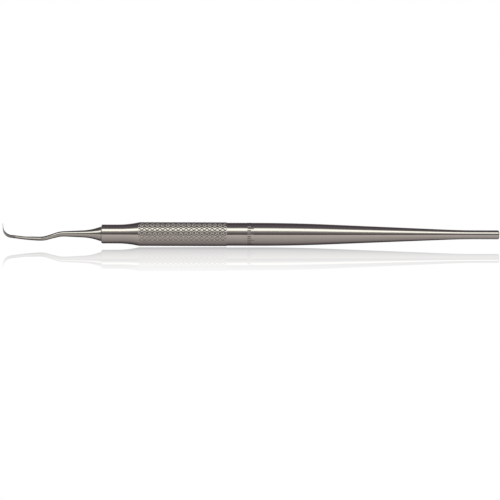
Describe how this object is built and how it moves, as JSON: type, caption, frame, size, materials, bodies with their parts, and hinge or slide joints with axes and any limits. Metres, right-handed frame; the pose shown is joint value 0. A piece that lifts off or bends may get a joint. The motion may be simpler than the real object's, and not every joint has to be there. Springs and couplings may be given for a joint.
{
  "type": "hooked modeling tool",
  "caption": "Slim steel hand tool with a knurled grip, a long tapered tail, and a bent shank that ends in a fine upturned hook.",
  "frame": {"origin": "under the middle of the tool's length, at the level of the grip's underside", "axes": "+X along the tool's axis, towards the tail; +Z is the side that the hook curls to; Y is across"},
  "size_m": [0.1663, 0.008, 0.008],
  "materials": {
    "handle_steel": "fine turned and polished stainless steel, knurled at the grip",
    "blade_steel": "ground and polished stainless steel"
  },
  "bodies": {
    "root": {"handle": "handle_steel", "working_end": "blade_steel"}
  },
  "joints": []
}
